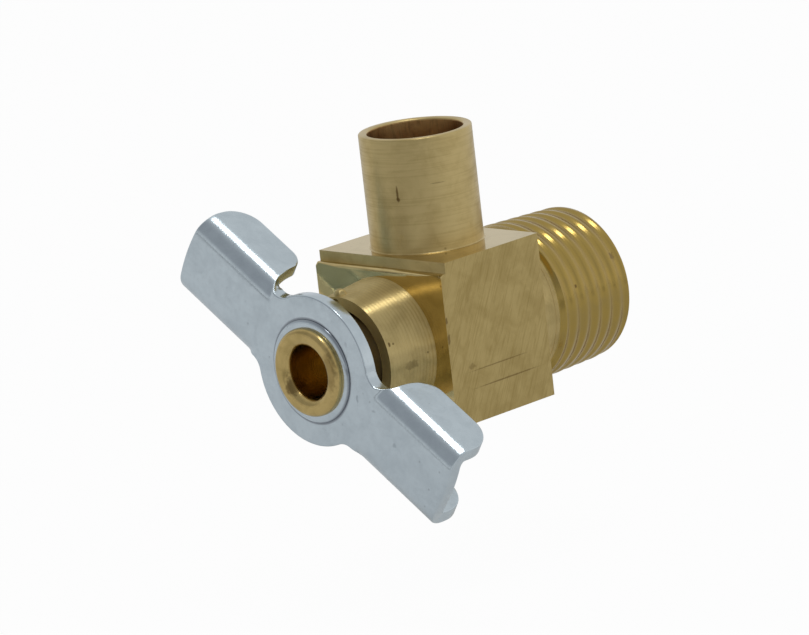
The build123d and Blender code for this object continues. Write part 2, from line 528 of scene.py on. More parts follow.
def round_corner(before, corner, after, radius, steps):
    """Points of the arc that takes the place of a corner."""
    p, c, q = Vector(before), Vector(corner), Vector(after)
    u, w = (p - c).normalized(), (q - c).normalized()
    half = u.angle(w) / 2
    reach = radius / math.tan(half)
    centre = c + (u + w).normalized() * (radius / math.sin(half))
    a, b = c + u * reach - centre, c + w * reach - centre
    turn = a.angle_signed(b)
    made = []
    for i in range(steps + 1):
        t = -turn * i / steps
        cos_t, sin_t = math.cos(t), math.sin(t)
        made.append(centre + Vector((a.x * cos_t - a.y * sin_t, a.x * sin_t + a.y * cos_t)))
    return [tuple(v) for v in made]


def blank_quarter(settings):
    """Outline of a quarter of the flat blank, from the eye's top to the middle of a wing's end."""
    eye, reach = settings.eye_radius, settings.wing_reach
    waist_v = WAIST_HALF + WAIST_ROUND
    mid_bend = settings.bend_radius - settings.sheet / 2
    far = settings.web_half + mid_bend * math.pi / 2 + settings.flange
    round_u = math.sqrt((eye + WAIST_ROUND) ** 2 - waist_v ** 2)
    touch = math.degrees(math.atan2(waist_v, round_u))
    path = arc((0, 0), eye, 90, touch, 26)
    path += arc((round_u, waist_v), WAIST_ROUND, 180 + touch, 270, 12)[1:]
    end_u = math.sqrt(reach ** 2 - (settings.web_half + mid_bend) ** 2)
    corners = [
        (round_u, WAIST_HALF),
        (FLANGE_START, WAIST_HALF),
        (FLANGE_START + FLANGE_SLANT, far),
        (end_u - FLANGE_END_BACK, far),
        (end_u, far - FLANGE_END_DROP),
    ]
    for i, (radius, steps) in enumerate(FLANGE_ROUNDS):
        path += round_corner(*corners[i:i + 3], radius, steps)
    last_v = path[-1][1]
    for i in range(1, 13):
        v = last_v * (1 - i / 12)
        path.append((math.sqrt(reach ** 2 - min(v, settings.web_half + mid_bend) ** 2), v))
    return path


def evenly(path, step):
    """Closed path resampled at an even step."""
    closed = path + path[:1]
    made = []
    left = 0.0
    for p, q in zip(closed, closed[1:]):
        p, q = Vector(p), Vector(q)
        run = (q - p).length
        at = left
        while at < run:
            made.append(p.lerp(q, at / run))
            at += step
        left = at - run
    return made


def blank_outline(settings, step):
    """Whole outline of the flat blank, at an even step."""
    quarter = blank_quarter(settings)
    right = quarter + [(u, -v) for u, v in reversed(quarter[:-1])]
    left = [(-u, -v) for u, v in right]
    return evenly(right[:-1] + left[:-1], step)


def outward(loop):
    """Unit vectors that point out of a clockwise loop."""
    count = len(loop)
    made = []
    for i in range(count):
        run = (loop[(i + 1) % count] - loop[i - 1]).normalized()
        made.append(Vector((-run.y, run.x)))
    return made


def inside_loop(point, loop):
    """Whether a point is inside a closed loop of points."""
    x, y = point
    hit = False
    for p, q in zip(loop, loop[1:] + loop[:1]):
        if (p.y > y) != (q.y > y) and x < (q.x - p.x) * (y - p.y) / (q.y - p.y) + p.x:
            hit = not hit
    return hit


def folded(settings, u, v, lift):
    """Place of a point of the flat blank once it is folded, lift being its height over the mid plane."""
    mid = settings.bend_radius - settings.sheet / 2
    full = math.pi / 2 * smooth_step(FOLD_START, FOLD_FULL, abs(u))
    past = max(abs(v) - settings.web_half, 0.0)
    turn = min(past / mid, full)
    rest = past - mid * turn
    across = min(abs(v), settings.web_half) + mid * math.sin(turn)
    across += rest * math.cos(turn) + lift * math.sin(turn)
    drop = mid * (1 - math.cos(turn)) + rest * math.sin(turn) - lift * math.cos(turn)
    n = math.copysign(across, v)
    c, s = math.cos(settings.tilt), math.sin(settings.tilt)
    y = handle_low.y - settings.forward + settings.sheet / 2 + drop
    return (u * c + n * s, y, -u * s + n * c)


def blank_loops(settings):
    """The blank's outline and its hole, each with the directions that point off the sheet."""
    outer = blank_outline(settings, settings.cell * EDGE_STEP)
    turns = [math.tau * i / HOLE_POINTS for i in range(HOLE_POINTS)]
    hole = [Vector((math.cos(t), math.sin(t))) * settings.hole_radius for t in turns]
    return [(outer, outward(outer)), (hole, outward(hole))]


def grid_inside(settings, outline, border):
    """Even triangular grid of points on the blank, clear of its border points."""
    cell = settings.cell
    near = {}
    for p in border:
        near.setdefault((round(p.x / cell), round(p.y / cell)), []).append(p)
    row_height = cell * math.sqrt(0.75)
    rows = int(max(p.y for p in outline) / row_height) + 1
    columns = int(settings.wing_reach / cell) + 1
    made = []
    for j in range(-rows, rows + 1):
        for i in range(-columns, columns + 1):
            p = Vector(((i + 0.5 * (j % 2)) * cell, j * row_height))
            if p.length < settings.hole_radius + settings.edge_round or not inside_loop(p, outline):
                continue
            column, row = round(p.x / cell), round(p.y / cell)
            around = [(column + a, row + b) for a in (-1, 0, 1) for b in (-1, 0, 1)]
            close = [q for key in around for q in near.get(key, [])]
            if all((p - q).length > GRID_CLEAR * cell for q in close):
                made.append(p)
    return made


def round_sheet_edge(form, settings, loop, out, front, back):
    """Rounded edge along one loop, between the sheet's front and back points there."""
    rounding, half = settings.edge_round, settings.sheet / 2
    turns = [math.pi / 2 * k / EDGE_ARC_STEPS for k in range(1, EDGE_ARC_STEPS + 1)]
    rings = [front]
    for side, t in [(1, t) for t in turns] + [(-1, t) for t in reversed(turns)]:
        offset = rounding * (math.sin(t) - 1)
        lift = side * (half - rounding * (1 - math.cos(t)))
        rings.append([
            form.verts.new(folded(settings, p.x + m.x * offset, p.y + m.y * offset, lift))
            for p, m in zip(loop, out)
        ])
    join_rings(form, [*rings, back])


def make_handle_form(settings):
    """Sheet with rounded edges, cut as a flat blank and folded."""
    loops = blank_loops(settings)
    inset = [[p - m * settings.edge_round for p, m in zip(*loop)] for loop in loops]
    border = inset[0] + inset[1]
    edges = []
    start = 0
    for loop in inset:
        edges += [(start + i, start + (i + 1) % len(loop)) for i in range(len(loop))]
        start += len(loop)
    points = border + grid_inside(settings, inset[0], border)
    flat, _, faces, *_ = delaunay_2d_cdt(points, edges, [], 1, 1e-9)
    hole_clear = settings.hole_radius + settings.edge_round * 0.5
    faces = [f for f in faces if (sum((flat[i] for i in f), Vector((0, 0))) / 3).length > hole_clear]
    form = bmesh.new()
    sides = []
    for lift in (settings.sheet / 2, -settings.sheet / 2):
        sides.append([form.verts.new(folded(settings, p.x, p.y, lift)) for p in flat])
    for f in faces:
        form.faces.new([sides[0][i] for i in f])
        form.faces.new([sides[1][i] for i in reversed(f)])
    place = {(round(p.x, 8), round(p.y, 8)): i for i, p in enumerate(flat)}
    for (loop, out), start_loop in zip(loops, inset):
        ids = [place[(round(p.x, 8), round(p.y, 8))] for p in start_loop]
        front, back = [[side[i] for i in ids] for side in sides]
        round_sheet_edge(form, settings, loop, out, front, back)
    loose = [v for v in form.verts if not v.link_faces]
    bmesh.ops.delete(form, geom=loose, context="VERTS")
    bmesh.ops.recalc_face_normals(form, faces=form.faces)
    return form


# Shader nodes, and the groups that several finishes share


def fill(tree, socket, value):
    """Links another node's output to a socket, or sets a plain value there."""
    if isinstance(value, bpy.types.NodeSocket):
        tree.links.new(value, socket)
    else:
        socket.default_value = value


def add(tree, kind, inputs=None, **settings):
    """New node with its settings, and its inputs linked or filled."""
    made = tree.nodes.new(kind)
    made.location = (180 * (len(tree.nodes) % 12), -220 * (len(tree.nodes) // 12))
    for name, value in settings.items():
        setattr(made, name, value)
    for key, value in (inputs or {}).items():
        fill(tree, made.inputs[key], value)
    return made


def math_node(tree, operation, a, b=0.0):
    """Result of one arithmetic step on one or two values."""
    return add(tree, "ShaderNodeMath", {0: a, 1: b}, operation=operation).outputs[0]


def vector_node(tree, operation, inputs, output=0):
    """Result of one arithmetic step on vectors."""
    return add(tree, "ShaderNodeVectorMath", inputs, operation=operation).outputs[output]


def noise(tree, vector, scale, detail, **more):
    """Value of a noise texture."""
    inputs = {"Vector": vector, "Scale": scale, "Detail": detail, **more}
    return add(tree, "ShaderNodeTexNoise", inputs).outputs[0]


def span(tree, value, low, high, to_low=0.0, to_high=1.0):
    """Maps a value smoothly from one span to another, held at the ends."""
    inputs = {"Value": value, "From Min": low, "From Max": high, "To Min": to_low, "To Max": to_high}
    return add(tree, "ShaderNodeMapRange", inputs, interpolation_type="SMOOTHSTEP").outputs[0]


def blend_colour(tree, mask, a, b, share=1.0):
    """Colour that goes from a to b where the mask is set, by a share of the mask."""
    if share != 1.0:
        mask = math_node(tree, "MULTIPLY", mask, share)
    made = add(tree, "ShaderNodeMix", {0: mask}, data_type="RGBA")
    for index, value in ((6, a), (7, b)):
        linked = isinstance(value, bpy.types.NodeSocket)
        fill(tree, made.inputs[index], value if linked else (*value, 1.0))
    return made.outputs[2]


def new_group(name, inputs, output):
    """Empty shader group with float and vector inputs and one value output."""
    tree = bpy.data.node_groups.new(name, "ShaderNodeTree")
    for label, default in inputs:
        kind = "NodeSocketVector" if isinstance(default, tuple) else "NodeSocketFloat"
        socket = tree.interface.new_socket(label, in_out="INPUT", socket_type=kind)
        socket.default_value = default
    tree.interface.new_socket(output, in_out="OUTPUT", socket_type="NodeSocketFloat")
    return tree, add(tree, "NodeGroupInput").outputs, add(tree, "NodeGroupOutput")


def make_streaks_group():
    """Long uneven lines, such as tool marks: noise drawn out along one direction."""
    inputs = [("Vector", (0, 0, 0)), ("Stretch", (1, 1, 1)), ("Fine", 3.0)]
    tree, given, put = new_group("streaks", inputs, "Value")
    drawn = vector_node(tree, "MULTIPLY", {0: given["Vector"], 1: given["Stretch"]})
    finer = vector_node(tree, "SCALE", {0: drawn, "Scale": given["Fine"]})
    coarse = math_node(tree, "MULTIPLY", noise(tree, drawn, 1.0, 3.0, Roughness=0.55), 0.55)
    fine = math_node(tree, "MULTIPLY", noise(tree, finer, 1.0, 2.0, Roughness=0.6), 0.45)
    both = math_node(tree, "ADD", coarse, fine)
    tree.links.new(span(tree, both, 0.3, 0.7), put.inputs[0])
    return tree


def make_mottle_group():
    """Cloudy patches of duller metal."""
    inputs = [("Vector", (0, 0, 0)), ("Scale", 1.0), ("Low", 0.35), ("High", 0.7)]
    tree, given, put = new_group("mottle", inputs, "Mask")
    cloud = noise(tree, given["Vector"], given["Scale"], 5.0, Roughness=0.6, Distortion=0.4)
    tree.links.new(span(tree, cloud, given["Low"], given["High"]), put.inputs[0])
    return tree


def make_blemish_group():
    """One ragged stain, scribed line or scuff at a place, with its own reach along each axis."""
    inputs = [("Vector", (0, 0, 0)), ("Place", (0, 0, 0)), ("Reach", (1, 1, 1)), ("Ragged", 0.6)]
    tree, given, put = new_group("blemish", inputs, "Mask")
    away = vector_node(tree, "SUBTRACT", {0: given["Vector"], 1: given["Place"]})
    share = vector_node(tree, "DIVIDE", {0: away, 1: given["Reach"]})
    far = vector_node(tree, "LENGTH", {0: share}, "Value")
    cloud = noise(tree, given["Vector"], 3.2, 4.0)
    rough = math_node(tree, "MULTIPLY", math_node(tree, "SUBTRACT", cloud, 0.5), given["Ragged"])
    edge = math_node(tree, "ADD", far, math_node(tree, "MULTIPLY", rough, 2.0))
    tree.links.new(span(tree, edge, 0.45, 1.0, 1.0, 0.0), put.inputs[0])
    return tree


def make_specks_group():
    """Small dark pits and specks scattered over a surface."""
    tree, given, put = new_group("specks", [("Vector", (0, 0, 0)), ("Scale", 1.0), ("Cover", 0.2)], "Mask")
    inputs = {"Vector": given["Vector"], "Scale": given["Scale"], "Randomness": 1.0}
    cells = add(tree, "ShaderNodeTexVoronoi", inputs)
    pick = add(tree, "ShaderNodeSeparateColor", {0: cells.outputs["Color"]}).outputs[0]
    chosen = math_node(tree, "LESS_THAN", pick, given["Cover"])
    dot = span(tree, cells.outputs["Distance"], 0.05, 0.2, 1.0, 0.0)
    tree.links.new(math_node(tree, "MULTIPLY", chosen, dot), put.inputs[0])
    return tree


GROUP_MAKERS = {
    "streaks": make_streaks_group,
    "mottle": make_mottle_group,
    "blemish": make_blemish_group,
    "specks": make_specks_group,
}


def use_group(tree, name, **inputs):
    """Places a shared group in a tree, building it the first time."""
    group = bpy.data.node_groups.get(name) or GROUP_MAKERS[name]()
    return add(tree, "ShaderNodeGroup", inputs, node_tree=group).outputs[0]


# Finishes


def start_material(name, metallic=1.0):
    """New material, its shader and a coordinate in millimetres."""
    material = bpy.data.materials.new(name)
    material.use_nodes = True
    tree = material.node_tree
    shader = tree.nodes["Principled BSDF"]
    shader.inputs["Metallic"].default_value = metallic
    place = add(tree, "ShaderNodeTexCoord").outputs["Object"]
    mm = vector_node(tree, "SCALE", {0: place, "Scale": 1 / MM})
    return material, tree, shader, mm


def set_roughness(tree, shader, marks, low, high, cloud=None, dulling=0.0):
    """Roughness between two values along the marks, and a little more in the cloudy patches."""
    rough = span(tree, marks, 0.0, 1.0, low, high)
    if cloud is not None:
        rough = math_node(tree, "ADD", rough, math_node(tree, "MULTIPLY", cloud, dulling))
    tree.links.new(rough, shader.inputs["Roughness"])


def put_bump(tree, shader, height, distance):
    """Fine relief on the surface, its depth in metres."""
    bump = add(tree, "ShaderNodeBump", {"Height": height, "Distance": distance, "Strength": 1.0})
    tree.links.new(bump.outputs[0], shader.inputs["Normal"])


def stained(tree, mm, colour, stain, places):
    """Colour with blemishes laid over it one by one: (place, reach, raggedness, strength)."""
    for place, reach, ragged, strength in places:
        mask = use_group(tree, "blemish", Vector=mm, Place=place, Reach=reach, Ragged=ragged)
        colour = blend_colour(tree, mask, colour, stain, strength)
    return colour


def spread_along(tree, shader, axis, amount):
    """Blurs mirrored light along the axis that fine rings run round."""
    round_axis = add(tree, "ShaderNodeTangent", direction_type="RADIAL", axis=axis).outputs[0]
    tree.links.new(round_axis, shader.inputs["Tangent"])
    shader.inputs["Anisotropic"].default_value = amount
    shader.inputs["Anisotropic Rotation"].default_value = 0.25


def turned_position(tree, mm):
    """Coordinate (place along Y, radius, 0) for lines that run round the inlet axis."""
    split = add(tree, "ShaderNodeSeparateXYZ", {0: mm}).outputs
    squares = [math_node(tree, "POWER", split[i], 2.0) for i in (0, 2)]
    radius = math_node(tree, "SQRT", math_node(tree, "ADD", *squares))
    return add(tree, "ShaderNodeCombineXYZ", {0: split[1], 1: radius, 2: 0.0}).outputs[0]


def make_sawn_brass(finish):
    """Block sides: steep saw lines, cloudy dull patches and two scribed lines."""
    material, tree, shader, mm = start_material("sawn_brass")
    turned = add(
        tree, "ShaderNodeVectorRotate", {"Vector": mm, "Axis": (1, 0, 0), "Angle": math.radians(27)},
        rotation_type="AXIS_ANGLE",
    ).outputs[0]
    saw = use_group(tree, "streaks", Vector=turned, Stretch=(0.5, 5.0, 0.28), Fine=2.6)
    cloud = use_group(tree, "mottle", Vector=mm, Scale=0.42, Low=0.35, High=0.68)
    specks = use_group(tree, "specks", Vector=mm, Scale=1.6, Cover=0.16)
    colour = blend_colour(tree, cloud, finish.brass, finish.brass_dark, 0.55)
    colour = blend_colour(tree, span(tree, saw, 0.45, 0.95, 0.0, 0.55), colour, finish.brass_dark)
    colour = blend_colour(tree, specks, colour, finish.stain, 0.5)
    colour = stained(tree, mm, colour, finish.stain, [
        ((7.4, -7.3, -3.6), (9.0, 4.8, 0.09), 0.3, 0.6),
        ((7.4, -8.1, -2.1), (9.0, 4.4, 0.08), 0.3, 0.5),
        ((7.4, -13.6, 1.2), (9.0, 0.2, 0.6), 0.7, 0.7),
        ((7.4, -13.65, 2.7), (9.0, 0.18, 0.4), 0.7, 0.7),
        ((7.4, -11.3, -1.7), (9.0, 0.5, 0.3), 0.8, 0.35),
    ])
    tree.links.new(colour, shader.inputs["Base Color"])
    set_roughness(tree, shader, saw, 0.30, 0.40, cloud, 0.07)
    put_bump(tree, shader, saw, 9e-6)
    return material


def make_smooth_brass(finish):
    """Top, front and other plain faces: near mirror with light rubbing."""
    material, tree, shader, mm = start_material("smooth_brass")
    rub = use_group(tree, "streaks", Vector=mm, Stretch=(0.35, 3.0, 3.0), Fine=2.4)
    cloud = use_group(tree, "mottle", Vector=mm, Scale=0.5, Low=0.4, High=0.75)
    specks = use_group(tree, "specks", Vector=mm, Scale=1.1, Cover=0.05)
    colour = blend_colour(tree, cloud, finish.tube_brass, finish.brass_dark, 0.3)
    colour = blend_colour(tree, specks, colour, finish.stain, 0.6)
    tree.links.new(colour, shader.inputs["Base Color"])
    set_roughness(tree, shader, rub, 0.07, 0.11, cloud, 0.04)
    put_bump(tree, shader, rub, 0.6e-6)
    return material


def make_boss_brass(finish):
    """Boss, ledge and neck: feed marks from turning and a few brown stains."""
    material, tree, shader, mm = start_material("boss_brass")
    along = add(tree, "ShaderNodeSeparateXYZ", {0: mm}).outputs[1]
    ring = use_group(tree, "streaks", Vector=turned_position(tree, mm), Stretch=(4.0, 0.6, 0.0), Fine=2.3)
    sweep = use_group(tree, "mottle", Vector=mm, Scale=1.4, Low=0.2, High=0.8)
    feed = math_node(tree, "SINE", math_node(tree, "ADD", math_node(tree, "MULTIPLY", along, 18.5), sweep))
    cloud = use_group(tree, "mottle", Vector=mm, Scale=0.55, Low=0.4, High=0.72)
    colour = blend_colour(tree, cloud, finish.boss_brass, finish.brass_dark, 0.3)
    colour = stained(tree, mm, colour, finish.stain, [
        ((5.7, -16.4, -0.5), (0.9, 1.0, 0.45), 0.8, 0.35),
        ((5.3, -18.2, 1.7), (0.7, 0.15, 0.24), 0.5, 0.85),
        ((5.3, -17.8, 1.65), (0.7, 0.13, 0.13), 0.5, 0.7),
        ((5.7, -14.6, 0.2), (0.6, 0.14, 0.14), 0.5, 0.6),
    ])
    tree.links.new(colour, shader.inputs["Base Color"])
    set_roughness(tree, shader, ring, 0.36, 0.42, cloud, 0.04)
    spread_along(tree, shader, "Y", 1.0)
    put_bump(tree, shader, math_node(tree, "ADD", math_node(tree, "MULTIPLY", feed, 2.0), ring), 4e-6)
    return material


def make_rim_brass(finish):
    """End face of the boss: dull, with fine rings, its brass painted brighter than the boss's as painted
    light.
    """
    material, tree, shader, mm = start_material("rim_brass")
    ring = use_group(tree, "streaks", Vector=turned_position(tree, mm), Stretch=(1.0, 7.0, 0.0), Fine=2.0)
    cloud = use_group(tree, "mottle", Vector=mm, Scale=0.7, Low=0.3, High=0.7)
    colour = blend_colour(tree, cloud, finish.rim_brass, finish.tube_brass, 0.4)
    tree.links.new(colour, shader.inputs["Base Color"])
    set_roughness(tree, shader, ring, 0.5, 0.65)
    put_bump(tree, shader, ring, 4e-6)
    return material


def make_thread_brass(finish):
    """Thread: fine rings from cutting and a few dark spots."""
    material, tree, shader, mm = start_material("thread_brass")
    ring = use_group(tree, "streaks", Vector=turned_position(tree, mm), Stretch=(3.0, 3.0, 0.0), Fine=2.3)
    cloud = use_group(tree, "mottle", Vector=mm, Scale=0.55, Low=0.4, High=0.72)
    specks = use_group(tree, "specks", Vector=mm, Scale=1.3, Cover=0.05)
    colour = blend_colour(tree, cloud, finish.thread_brass, finish.brass_dark, 0.5)
    colour = blend_colour(tree, specks, colour, finish.stain, 0.6)
    colour = stained(tree, mm, colour, finish.stain, [
        ((6.6, 2.7, 1.7), (0.5, 0.2, 0.2), 0.5, 0.85),
        ((5.9, 8.0, 3.0), (0.8, 0.45, 0.45), 0.8, 0.55),
    ])
    tree.links.new(colour, shader.inputs["Base Color"])
    set_roughness(tree, shader, ring, 0.16, 0.22, cloud, 0.05)
    put_bump(tree, shader, ring, 1.2e-6)
    return material


def make_tube_brass(finish):
    """Outside of the tube: fine rings, a dark runny stain and a faint scratch."""
    material, tree, shader, mm = start_material("tube_brass")
    ring = use_group(tree, "streaks", Vector=mm, Stretch=(0.12, 0.12, 5.5), Fine=2.2)
    cloud = use_group(tree, "mottle", Vector=mm, Scale=0.5, Low=0.4, High=0.75)
    specks = use_group(tree, "specks", Vector=mm, Scale=1.2, Cover=0.05)
    colour = blend_colour(tree, cloud, finish.tube_brass, finish.brass_dark, 0.4)
    colour = blend_colour(tree, span(tree, ring, 0.4, 1.0, 0.0, 0.25), colour, finish.brass_dark)
    colour = blend_colour(tree, specks, colour, finish.stain, 0.5)
    colour = stained(tree, mm, colour, finish.stain, [
        ((1.69, -12.1, 12.7), (0.13, 0.6, 0.85), 0.4, 0.8),
        ((1.72, -12.1, 12.2), (0.2, 0.6, 0.25), 0.4, 0.8),
        ((4.25, -9.8, 13.3), (0.6, 0.9, 0.07), 0.4, 0.4),
    ])
    tree.links.new(colour, shader.inputs["Base Color"])
    set_roughness(tree, shader, ring, 0.32, 0.41, cloud, 0.05)
    spread_along(tree, shader, "Z", 0.7)
    put_bump(tree, shader, ring, 2e-6)
    return material


def make_tube_inside(finish):
    """Inside of the tube: brown, dull and streaked."""
    material, tree, shader, mm = start_material("tube_inside")
    run = use_group(tree, "streaks", Vector=mm, Stretch=(1.6, 1.6, 0.3), Fine=2.5)
    cloud = use_group(tree, "mottle", Vector=mm, Scale=0.6, Low=0.35, High=0.7)
    colour = blend_colour(tree, cloud, finish.tube_brown, finish.tube_brown_dark)
    colour = blend_colour(tree, span(tree, run, 0.4, 1.0, 0.0, 0.4), colour, finish.stain)
    tree.links.new(colour, shader.inputs["Base Color"])
    set_roughness(tree, shader, run, 0.32, 0.45)
    put_bump(tree, shader, run, 3e-6)
    return material


def make_stem_brass(finish):
    """Stem: polished where it is rolled over, with a dark smear beside the hole and a stain on the head's
    right spread wide as painted shade.
    """
    material, tree, shader, mm = start_material("stem_brass")
    ring = use_group(tree, "streaks", Vector=turned_position(tree, mm), Stretch=(3.5, 4.0, 0.0), Fine=2.3)
    cloud = use_group(tree, "mottle", Vector=mm, Scale=0.8, Low=0.38, High=0.7)
    colour = blend_colour(tree, cloud, finish.stem_brass, finish.brass_dark, 0.5)
    colour = stained(tree, mm, colour, finish.stain, [
        ((-1.9, -22.9, -1.3), (0.75, 2.0, 1.1), 0.6, 0.7),
        # A stain on the head's right, spread wide over that side as painted shade
        ((2.9, -22.9, 0.4), (0.9, 3.0, 2.2), 0.6, 0.4),
    ])
    tree.links.new(colour, shader.inputs["Base Color"])
    set_roughness(tree, shader, ring, 0.17, 0.28)
    put_bump(tree, shader, ring, 2.5e-6)
    return material


def make_shaded_stem(finish):
    """Stem behind the handle: painted shade, dark in the gap between the handle and the boss."""
    material, tree, shader, mm = start_material("shaded_stem_brass")
    cloud = use_group(tree, "mottle", Vector=mm, Scale=1.1, Low=0.3, High=0.7)
    colour = blend_colour(tree, cloud, finish.stem_shade, finish.stain)
    tree.links.new(colour, shader.inputs["Base Color"])
    set_roughness(tree, shader, cloud, 0.3, 0.5)
    put_bump(tree, shader, cloud, 4e-6)
    return material


def make_zinc_plate(finish, name, head_scale):
    """Zinc plate: bluish, faintly cloudy, with fine grain, a few scuffs and a painted shadow line round
    the ring.
    """
    material, tree, shader, mm = start_material(name)
    cloud = use_group(tree, "mottle", Vector=mm, Scale=0.55, Low=0.35, High=0.7)
    patch = use_group(tree, "mottle", Vector=mm, Scale=2.2, Low=0.4, High=0.75)
    rub = use_group(tree, "streaks", Vector=mm, Stretch=(2.2, 2.2, 2.2), Fine=3.4)
    specks = use_group(tree, "specks", Vector=mm, Scale=1.4, Cover=0.1)
    colour = blend_colour(tree, cloud, finish.zinc, finish.zinc_dark, 0.5)
    colour = blend_colour(tree, patch, colour, finish.zinc_dark, 0.3)
    colour = blend_colour(tree, specks, colour, finish.speck, 0.35)
    colour = stained(tree, mm, colour, finish.scuff, [
        ((5.0, -22.1, -1.9), (0.16, 0.6, 0.5), 0.9, 0.6),
        ((6.8, -22.1, -2.7), (0.35, 0.6, 0.2), 0.9, 0.5),
        ((8.7, -22.1, -5.4), (0.3, 0.6, 0.25), 0.9, 0.5),
        ((4.4, -22.1, 2.7), (0.22, 0.6, 0.5), 1.0, 0.5),
    ])
    # Painted shadow: a dark line on the plate round the edge of the ring
    radius = add(tree, "ShaderNodeSeparateXYZ", {0: turned_position(tree, mm)}).outputs[1]
    ring_edge = washer_high.x * head_scale / MM + 0.02
    from_ring = math_node(tree, "ABSOLUTE", math_node(tree, "SUBTRACT", radius, ring_edge))
    colour = blend_colour(tree, span(tree, from_ring, 0.04, 0.2, 0.75, 0.0), colour, finish.ring_shadow)
    tree.links.new(colour, shader.inputs["Base Color"])
    set_roughness(tree, shader, rub, 0.13, 0.2, cloud, 0.05)
    put_bump(tree, shader, rub, 2.2e-6)
    return material


def make_ring_rubber(finish):
    """Black rubber with a faint bloom."""
    material, tree, shader, mm = start_material("ring_rubber", metallic=0.0)
    cloud = use_group(tree, "mottle", Vector=mm, Scale=1.5, Low=0.35, High=0.75)
    colour = blend_colour(tree, cloud, finish.rubber, tuple(c * 2.2 for c in finish.rubber))
    tree.links.new(colour, shader.inputs["Base Color"])
    set_roughness(tree, shader, cloud, 0.5, 0.7)
    put_bump(tree, shader, cloud, 4e-6)
    return material


# Operators


def body_finish(centre, normal):
    """Which of the body's finishes a face takes, from its place and direction."""
    radius = radius_of(centre)
    below_top = body_high.z - centre.z
    on_ledge = SLACK < below_top < LEDGE_HEIGHT - SLACK and normal.y < -0.5
    on_neck = BLOCK_BACK < centre.y < NECK_END and NECK_INSIDE < radius < NECK_OUTSIDE
    if abs(centre.x) > body_high.x - SLACK:
        return SAWN_FACE
    if centre.y < body_low.y + SKIN and abs(normal.y) > 0.9:
        return RIM_FACE
    if centre.y < BLOCK_FRONT - SKIN or on_ledge or on_neck:
        return TURNED_FACE
    if centre.y < NECK_END and radius > NECK_INSIDE:
        return SMOOTH_FACE
    return THREAD_FACE


class VALVE_OT_body(bpy.types.Operator):
    """Makes the brass body with its tapered thread"""

    bl_idname = "valve.make_body"
    bl_label = "Brass body"

    def execute(self, context):
        scene = context.scene
        form = solid_copy("valve_body")
        square_boss_foot(form)
        cut_thread(form, scene.valve_thread)
        soften_block(form)
        mesh = mesh_from(form, "brass_body", math.radians(32))
        keep_faces_flat(mesh, BLOCK_FRONT, BLOCK_BACK + FLAT_PAST_BACK)
        for maker in (
            make_thread_brass, make_sawn_brass, make_smooth_brass, make_boss_brass, make_rim_brass,
        ):
            mesh.materials.append(maker(scene.valve_finish))
        for face in mesh.polygons:
            face.material_index = body_finish(face.center, face.normal)
        new_piece("brass_body", mesh, "body", "valve_body")
        return {"FINISHED"}


class VALVE_OT_tube(bpy.types.Operator):
    """Makes the thin outlet tube"""

    bl_idname = "valve.make_tube"
    bl_label = "Outlet tube"

    def execute(self, context):
        finish = context.scene.valve_finish
        outer = (tube_high.x - tube_low.x) / 2
        centre = Vector((0, (tube_low.y + tube_high.y) / 2, 0))
        bore, foot_r = outer - TUBE_WALL, outer - TUBE_FOOT_STEP
        block_top, rim = body_high.z, tube_high.z
        edge, fillet, inner_edge = EDGE_ROUND, TUBE_FILLET, TUBE_INNER_ROUND
        points = [(bore, tube_low.z), (foot_r, tube_low.z), (foot_r, block_top)]
        points += arc((outer + fillet, block_top + fillet), fillet, 270, 180, 6)
        for i in range(1, 12):
            points.append((outer, block_top + fillet + (rim - block_top - fillet - edge) * i / 12))
        points += arc((outer - edge, rim - edge), edge, 0, 90, 5)
        points += arc((bore + inner_edge, rim - inner_edge), inner_edge, 90, 180, 6)
        mesh = mesh_from(lathe(points, centre, "Z", 160), "outlet_tube_skin", math.radians(40))
        mesh.materials.append(make_tube_brass(finish))
        mesh.materials.append(make_tube_inside(finish))
        for face in mesh.polygons:
            away = face.center - centre
            if math.hypot(away.x, away.y) < bore + SKIN:
                face.material_index = 1
        new_piece("outlet_tube_skin", mesh, "body", "outlet_tube")
        return {"FINISHED"}


class VALVE_OT_stem(bpy.types.Operator):
    """Finishes the screw stem and its rolled front end"""

    bl_idname = "valve.make_stem"
    bl_label = "Stem"

    def execute(self, context):
        mesh = mesh_from(solid_copy("stem"), "stem_skin", math.radians(35))
        finish = context.scene.valve_finish
        mesh.materials.append(make_stem_brass(finish))
        mesh.materials.append(make_shaded_stem(finish))
        handle = context.scene.valve_handle
        for vert in mesh.vertices:
            if vert.co.y < handle_low.y - SLACK:
                vert.co.x *= handle.head_scale
                vert.co.z *= handle.head_scale
            if vert.co.y < handle_low.y + handle.sheet + STEM_PAST_SHEET:
                vert.co.y -= handle.forward
        # Faces of the stem behind the handle take the painted shade
        shaded_r = handle.hole_radius - SHADE_INSIDE_HOLE
        for face in mesh.polygons:
            if face.center.y > handle_low.y and radius_of(face.center) > shaded_r:
                face.material_index = 1
        new_piece("stem_skin", mesh, "handle", "stem")
        return {"FINISHED"}


